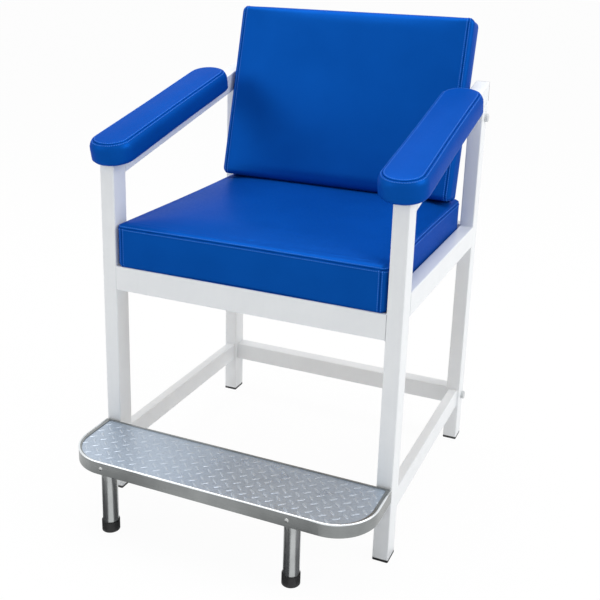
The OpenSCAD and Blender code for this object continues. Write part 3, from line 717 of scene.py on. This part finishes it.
def seam_push(offset):
    """How far a surface moves out at a distance from a seam: a groove between two welts."""
    groove_depth, groove_width = 1.3 * MM, 0.6 * MM
    welt_height, welt_width, welt_place = 0.5 * MM, 1.5 * MM, 2.2 * MM
    groove = -groove_depth * np.exp(-((offset / groove_width) ** 2))
    welts = welt_height * np.exp(-(((np.abs(offset) - welt_place) / welt_width) ** 2))
    return groove + welts


def wander(count, spread, amount):
    """Smooth random shares round 1 along a closed line of count points."""
    turns = np.arange(count) / count * 2 * np.pi
    waves = sum(
        np.sin(turns * k + rng.uniform(0, 2 * np.pi)) for k in rng.integers(spread // 2, spread, 5)
    )
    return 1 + amount * waves / 5


def sew(pad, mesh):
    """Presses the pad's seams into its mesh, and keeps the lines on which its stitches lie."""
    normals = np.array([v.normal for v in mesh.vertices])
    points = coordinates(mesh)
    rested = points.copy()
    runs = []
    for seam, rows in pad.row_seams.items():
        pucker = wander(pad.count, 90, 0.45)
        for k, at in enumerate(rows):
            offset = at - rows[seam]
            if abs(offset) < SEAM_REACH:
                numbers = np.arange(k * pad.count, (k + 1) * pad.count)
                push = seam_push(np.full(pad.count, offset))
                points[numbers] += normals[numbers] * (push * pucker)[:, None]
        for side in (-STITCH_ROW, STITCH_ROW):
            k = near(rows, rows[seam] + side)
            runs.append((np.arange(k * pad.count, (k + 1) * pad.count), True))
    for seam in pad.column_seams:
        low, high = pad.seam_rows
        for k in range(low, high):
            middle = rested[pad.index(k, seam)]
            for step in range(-12, 13):
                number = pad.index(k, seam + step)
                offset = np.linalg.norm(rested[number] - middle)
                if offset < SEAM_REACH:
                    points[number] += normals[number] * seam_push(offset)
        for way in (-1, 1):
            middle = rested[pad.index(high // 2, seam)]
            gaps = [
                np.linalg.norm(rested[pad.index(high // 2, seam + way * step)] - middle)
                for step in range(13)
            ]
            column = seam + way * near(gaps, STITCH_ROW)
            runs.append((np.array([pad.index(k, column) for k in range(low, high)]), False))
    set_coordinates(mesh, points)
    return [
        (points[numbers], normals[numbers], closed) for numbers, closed in runs
    ]


def stitch_mesh(name, runs, place):
    """Stitches that lie along the runs of a pad's seams, as one piece."""
    pitch, length, wide, high = 4.2 * MM, 3.0 * MM, 0.6 * MM, 0.45 * MM
    points, faces = [], []
    for path, normals, closed in runs:
        if closed:
            path, normals = np.vstack([path, path[:1]]), np.vstack([normals, normals[:1]])
        line = Line(path)
        count = int(line.length / pitch)
        for k in range(count):
            at = (k + 0.5) * line.length / count
            stops = at + np.linspace(-0.5, 0.5, 5) * length
            middle = line(stops)
            along = middle[-1] - middle[0]
            along /= np.linalg.norm(along) + 1e-12
            out = np.array([np.interp(at, line.at, c) for c in normals.T])
            across = np.cross(along, out)
            start = len(points)
            for j, share in enumerate((0.15, 0.85, 1.0, 0.85, 0.15)):
                for turn in np.radians((-20, 25, 90, 155, 200)):
                    points.append(
                        middle[j] + across * math.cos(turn) * wide * share
                        + out * (math.sin(turn) * high * share + 0.1 * MM * (share - 0.6))
                    )
            for j in range(4):
                for i in range(4):
                    a = start + 5 * j + i
                    faces.append((a, a + 5, a + 6, a + 1))
                faces.append((start + 5 * j + 4, start + 5 * j + 9, start + 5 * j + 5, start + 5 * j))
            faces.append(tuple(range(start, start + 5)))
            faces.append(tuple(range(start + 24, start + 19, -1)))
    made = make_mesh(name, points, faces, THREAD)
    made.data.transform(place)
    add_piece(made)


def cut_box(piece, low, high):
    """Cuts a box out of a piece, before the piece is moved to its place."""
    bm = bmesh.new()
    bmesh.ops.create_cube(bm, size=1)
    low, high = Vector(low), Vector(high)
    for v in bm.verts:
        v.co = Vector((low[i] + (v.co[i] + 0.5) * (high[i] - low[i]) for i in range(3)))
    mesh = bpy.data.meshes.new("cutter")
    bm.to_mesh(mesh)
    bm.free()
    cutter = bpy.data.objects.new("cutter", mesh)
    SCENE.collection.objects.link(cutter)
    cut = piece.modifiers.new("cut", "BOOLEAN")
    cut.operation = "DIFFERENCE"
    cut.object = cutter
    applied(piece)
    bpy.data.objects.remove(cutter)
    piece.data.set_sharp_from_angle(angle=math.radians(50))


def upholster(name, pad, place, node, cuts, cap, voxel):
    """Swells, sews and places a pad, and puts it where its CAD node was."""
    swell(pad, cap, voxel, name)
    piece = make_mesh(name, pad.points, pad.faces, BLUE)
    runs = sew(pad, piece.data)
    for low, high in cuts:
        cut_box(piece, low, high)
    piece.data.transform(place)
    add_piece(piece)
    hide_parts(node)
    stitch_mesh(name + "_stitches", runs, place)


# Places of the pads, from the frame and from the sizes in the CAD source
def make_seat():
    """The seat's pad, which rises to the rear as in the photograph."""
    low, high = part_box("seat_cushion")
    board_low, board_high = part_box("seat_board")
    size = high.x - low.x, high.y - low.y
    edge_z, edge, radius = 84 * MM, 10 * MM, 12 * MM
    pad = upright_pad(
        size, low.z - board_low.z, edge_z, radius, edge=edge, pull=2.5 * MM, bottom=4 * MM,
        seam_up=3 * MM, corner_seams=True, step=7 * MM, rise=8 * MM,
    )
    crown_top(pad, size, edge, crown=6 * MM, powers=(4, 4))
    middle = Vector(((low.x + high.x) / 2, (low.y + high.y) / 2, board_low.z))
    place = Matrix.Translation(middle)
    play, below = Vector((GAP, GAP, GAP)), Vector((0, 0, MM))
    cut = (board_low - middle - play - below, board_high - middle + play)
    add_hem("seat", place, size, overlap=14 * MM)
    upholster("seat_pad", pad, place, "seat_cushion", cuts=[cut], cap=5 * MM, voxel=5.5 * MM)


def crown_top(pad, size, edge, crown, powers):
    """Raises the middle of a pad's top, from level at its rounded edge."""
    half = [extent / 2 - (1 + LEVEL_RIM_SHARE) * edge for extent in size]
    for number in pad.grids[1][1:-1, 1:-1].ravel():
        x, y, z = pad.points[number]
        shares = [
            max(0.0, 1 - abs(place / reach) ** power)
            for place, reach, power in zip((x, y), half, powers)
        ]
        pad.points[number] = np.array((x, y, z + crown * (shares[0] * shares[1]) ** 1.4))


def make_back():
    """The back's pad; its lower edge is pressed on to the seat by drop."""
    low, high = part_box("back_board")
    inset, thick, drop = 16 * MM, 52 * MM, 5 * MM
    height = 374 * MM + drop
    rear_z = low.z - (inset + drop) * math.cos(BACK_LEAN)
    rear_y = high.y - (height - inset) * math.sin(BACK_LEAN)
    pad_low, pad_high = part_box("back_cushion")
    size = pad_high.x - pad_low.x, height
    pad = gusset_pad(
        size, thick, radius=12 * MM, edge=11 * MM, bottom=4 * MM, pull=2.5 * MM, crown=6 * MM,
        seam_in=11 * MM, step=7 * MM,
    )
    place = Matrix.Translation((0, rear_y, rear_z)) @ Matrix.Rotation(math.pi / 2 - BACK_LEAN, 4, "X")
    half = (high.x - low.x) / 2 + GAP
    cut = ((-half, inset + drop - GAP, -2 * MM), (half, height - inset + GAP, BOARD_T + GAP))
    add_hem("back", place @ Matrix.Translation((0, height / 2, 0)), size, overlap=30 * MM)
    upholster("back_pad", pad, place, "back_cushion", cuts=[cut], cap=4 * MM, voxel=5.5 * MM)


def make_arm(side_name):
    """An arm's pad on its board, with a groove in its skirt for the rail."""
    length, width, skirt, edge_z, edge = 446 * MM, 88 * MM, 8 * MM, 35 * MM, 16 * MM
    post_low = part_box("front_post_" + side_name)[0]
    rail_low, rail_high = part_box("arm_rail_" + side_name)
    board_low, board_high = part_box("arm_board_" + side_name)
    reach, inset = 17 * MM, 14 * MM
    front = post_low.y - reach
    top = rail_high.z - (rail_high.y - front) * math.tan(ARM_SLOPE)
    middle_x = (board_low.x + board_high.x) / 2
    size = width, length
    radius = ROUND_END_SHARE * width
    pad = upright_pad(
        size, GAP - skirt, edge_z, radius, edge=edge, pull=MM, bottom=4 * MM,
        seam_up=17 * MM, corner_seams=False, step=6 * MM,
    )
    crown_top(pad, size, edge, crown=1.5 * MM, powers=(2, 6))
    slope = Matrix.Translation((middle_x, front, top)) @ Matrix.Rotation(ARM_SLOPE, 4, "X")
    place = slope @ Matrix.Translation((0, length / 2, 0))
    rail_x = (rail_low.x + rail_high.x) / 2 - middle_x
    groove = (rail_high.x - rail_low.x) / 2 + GAP
    groove_front = (reach - skirt * math.sin(ARM_SLOPE)) / math.cos(ARM_SLOPE)
    groove_front -= skirt * math.tan(ARM_SLOPE) + GAP + length / 2
    half_w, half_l = width / 2 - inset + GAP, length / 2 - inset + GAP
    cuts = [
        ((-half_w, -half_l, -GAP), (half_w, half_l, BOARD_T + GAP)),
        ((rail_x - groove, groove_front, -2 * skirt), (rail_x + groove, length, 0)),
    ]
    name = "arm_pad_cover_" + side_name
    upholster(name, pad, place, "arm_pad_" + side_name, cuts=cuts, cap=3 * MM, voxel=4 * MM)


def add_hem(name, place, size, overlap):
    """The cover's edge, folded over the back of a pad's board, and the staples that hold it.
    Its outer edge stands inside the pad's, and its inner one reaches on to the board by overlap."""
    arcs, sides = np.linspace(0, 1, 9), [np.linspace(0, 1, 61)[1:-1], np.linspace(0, 1, 41)[1:-1]]
    outer, lift, turned = 3 * MM, 0.9 * MM, 16 * MM
    corner, least_corner, staple_corner = 12 * MM, 4 * MM, 6 * MM
    waves = wander(len(ring(*size, [corner] * 4, [0] * 4, arcs, sides)), 60, 0.9)
    loops = []
    reach = turned + overlap
    for inset, z in ((outer, 0.3 * MM), (outer + lift, -lift), (reach - lift, -lift), (reach, 0)):
        radii = [max(least_corner, corner - inset)] * 4
        flat = ring(size[0] - 2 * inset, size[1] - 2 * inset, radii, [0] * 4, arcs, sides)
        if inset > turned:
            flat *= 1 + 0.012 * (waves[:, None] - 1)
        loops.append(np.column_stack([flat, np.full(len(flat), z)]))
    count = len(loops[0])
    faces = []
    for k in range(len(loops)):
        for i in range(count):
            j, n = (i + 1) % count, (k + 1) % len(loops)
            faces.append((k * count + i, n * count + i, n * count + j, k * count + j))
    hem = make_mesh(name + "_hem", np.concatenate(loops), faces, BLUE)
    hem.data.transform(place)
    add_piece(hem)

    middle = turned + 0.45 * overlap
    loop = ring(size[0] - 2 * middle, size[1] - 2 * middle, [staple_corner] * 4, [0] * 4, arcs, sides)
    line = Line(np.vstack([loop, loop[:1]]))
    pitch, length, wire, depth = 30 * MM, 10 * MM, 0.6 * MM, 1.2 * MM
    parts = []
    for k in range(int(line.length / pitch)):
        at = line((k + 0.5) * pitch)
        ahead = line((k + 0.5) * pitch + MM) - at
        turn = math.atan2(ahead[1], ahead[0]) + rng.uniform(-0.3, 0.3)
        along = np.array((math.cos(turn), math.sin(turn), 0)) * length / 2
        level = np.array((at[0], at[1], -lift - 0.35 * wire))
        sunk = np.array((0, 0, depth))
        bends = [level - 0.93 * along, level, level + 0.93 * along]
        parts.append(sweep([level - along + sunk, *bends, level + along + sunk], wire, 6))
    staples = joined(name + "_staples", parts, ZINC)
    staples.data.transform(place)
    add_piece(staples)


# Step
def inside_step(x, y, inset):
    """Whether a place lies inside the step's outline drawn in by inset."""
    low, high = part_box("step_rim")
    if not (low.x + inset <= x <= high.x - inset and low.y + inset <= y <= high.y - inset):
        return False
    cx = max(low.x + STEP_CORNER, min(high.x - STEP_CORNER, x))
    cy = low.y + STEP_CORNER
    return y > cy or math.hypot(x - cx, y - cy) <= STEP_CORNER - inset


def make_tread_bars():
    """Raised bars of the tread plate, turned one way and the other in turn. The pattern is
    laid out from one bar that stands where the photograph has one, and cut to the plate."""
    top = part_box("step_tread_plate")[1].z
    pitch, row_pitch, turn = 25 * MM, 26.2 * MM, math.radians(42)
    long, wide, tall, sunk, margin = 16 * MM, 4.2 * MM, 0.6 * MM, 0.05 * MM, 8 * MM
    points, faces = [], []
    first = Vector((41.7 * MM, -221.8 * MM))
    rows, columns = range(-13, 14), range(-30, 31)
    stops, turns = np.linspace(-1, 1, 11), np.radians(np.linspace(0, 180, 7))
    for j in rows:
        for i in columns:
            x, y = first.x + i * pitch / 2, first.y + j * row_pitch / 2
            if (i - j) % 2 or not inside_step(x, y, margin):
                continue
            way = turn if i % 2 == 0 else -turn
            along = np.array((math.cos(way), math.sin(way)))
            across = np.array((-along[1], along[0]))
            start = len(points)
            for u in stops:
                full = (1 - abs(u) ** 2.6) ** 0.5
                for a in turns:
                    p = along * u * long / 2 + across * math.cos(a) * wide / 2 * max(full, 0.02)
                    points.append((x + p[0], y + p[1], top + tall * math.sin(a) * full - sunk))
            n = len(turns)
            for a in range(len(stops) - 1):
                for b in range(n - 1):
                    k = start + a * n + b
                    faces.append((k, k + n, k + n + 1, k + 1))
    # The bars take a paler copy of the plate's alloy, as a painted highlight
    add_piece(make_mesh("tread_bars", points, faces, HIGHLIT_BAR_ALLOY))


def step_line(inset):
    """The step's outline drawn in by inset, from its rear left to its rear right corner."""
    low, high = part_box("step_rim")
    radius = STEP_CORNER - inset
    left, right, front, rear = low.x + inset, high.x - inset, low.y + inset, high.y - 0.5 * MM
    points = [(left, rear), (left, (rear + front + radius) / 2)]
    points += arc_points((left + radius, front + radius), radius, 180, 270, 25)
    points += arc_points((right - radius, front + radius), radius, 270, 360, 25)
    points += [(right, (rear + front + radius) / 2), (right, rear)]
    return points


def make_step_lip():
    """Polished rounded edge along the top of the step's rim, whose pale steel is a painted highlight."""
    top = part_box("step_rim")[1].z
    radius, inset, sunk = 2 * MM, 1.6 * MM, 0.8 * MM
    path = [(x, y, top - sunk) for x, y in step_line(inset)]
    add_piece(joined("step_lip", [sweep(path, radius, 10)], HIGHLIT_LIP_STEEL))


# Beads
def sweep(path, radius, sides, ripple=None, closed=False):
    """Points and faces of a round bead along a path of 3-D points; ripple varies its radius."""
    path = np.array(path, float)
    count = len(path)
    points, faces = [], []
    for k in range(count):
        ahead = path[(k + 1) % count] if closed or k < count - 1 else path[k]
        behind = path[k - 1] if closed or k > 0 else path[k]
        along = ahead - behind
        along /= np.linalg.norm(along)
        seed = np.array((0, 0, 1.0)) if abs(along[2]) < 0.9 else np.array((0, 1.0, 0))
        across = np.cross(along, seed)
        across /= np.linalg.norm(across)
        out = np.cross(across, along)
        size = radius * (1 if ripple is None else ripple(k))
        for i in range(sides):
            a = 2 * math.pi * i / sides
            points.append(path[k] + size * (math.cos(a) * across + math.sin(a) * out))
    for k in range(count if closed else count - 1):
        for i in range(sides):
            j, n = (i + 1) % sides, (k + 1) % count
            faces.append((k * sides + i, k * sides + j, n * sides + j, n * sides + i))
    if not closed:
        faces.append(tuple(range(sides))[::-1])
        faces.append(tuple(range((count - 1) * sides, count * sides)))
    return points, faces


def joined(name, parts, material):
    """One piece from several sets of points and faces."""
    points, faces = [], []
    for part_points, part_faces in parts:
        start = len(points)
        points += list(part_points)
        faces += [tuple(start + i for i in face) for face in part_faces]
    return make_mesh(name, points, faces, material)


def weld(corners, closed=False):
    """A weld bead through the corners, with the ripples of the torch."""
    corners = [np.array(corner, float) for corner in corners]
    line = Line(corners + corners[:1] if closed else corners)
    pitch, radius, depth_share, turn = 0.9 * MM, 1.5 * MM, 0.16, 2.4
    count = max(4, int(line.length / pitch))
    stops = np.linspace(0, line.length, count, endpoint=not closed)
    return sweep(line(stops), radius, 6, lambda k: 1 + depth_share * math.sin(turn * k), closed)


def make_welds():
    """Beads where the tubes meet, left off where two faces are flush and ground smooth."""
    inset = 2 * MM
    parts = []
    for name, side in (("left", -1), ("right", 1)):
        front_low, front_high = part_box("front_post_" + name)
        rear_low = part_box("rear_post_" + name)[0]
        outer, inner = (front_low.x, front_high.x) if side < 0 else (front_high.x, front_low.x)
        across = (inner + side * inset, outer - side * inset)
        rail_low, rail_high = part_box("seat_rail_" + name)
        for y in (front_high.y, rear_low.y):
            for z in (rail_low.z, rail_high.z):
                parts.append(weld([(x, y, z) for x in across]))
            bar_low, bar_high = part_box("side_stretcher_" + name)
            parts.append(weld([
                (bar_low.x, y, bar_low.z), (bar_high.x, y, bar_low.z),
                (bar_high.x, y, bar_high.z), (bar_low.x, y, bar_high.z),
            ], closed=True))
        arm_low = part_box("arm_rail_" + name)[0]
        parts.append(weld([(x, front_high.y, arm_low.z) for x in across]))
        under = arm_low.z + (rear_low.y - front_high.y) * math.tan(ARM_SLOPE)
        parts.append(weld([(x, rear_low.y, under) for x in across]))
        low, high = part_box("seat_rail_front")
        parts.append(weld([
            (inner, low.y + inset, high.z), (inner, high.y, high.z),
            (inner, high.y, low.z), (inner, low.y + inset, low.z),
        ]))
        low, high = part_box("seat_rail_rear")
        parts.append(weld([
            (inner, high.y - inset, high.z), (inner, low.y, high.z),
            (inner, low.y, low.z), (inner, high.y - inset, low.z),
        ]))
        low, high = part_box("seat_bearer")
        for y in (low.y, high.y):
            parts.append(weld([(inner, y, rail_low.z), (inner, y, high.z - inset)]))
    add_piece(joined("weld_beads", parts, WHITE))


make_camera()
dress_frame()
make_stage()
make_cards()
make_lamps()
make_seat()
make_back()
make_arm("left")
make_arm("right")
make_tread_bars()
make_step_lip()
make_welds()
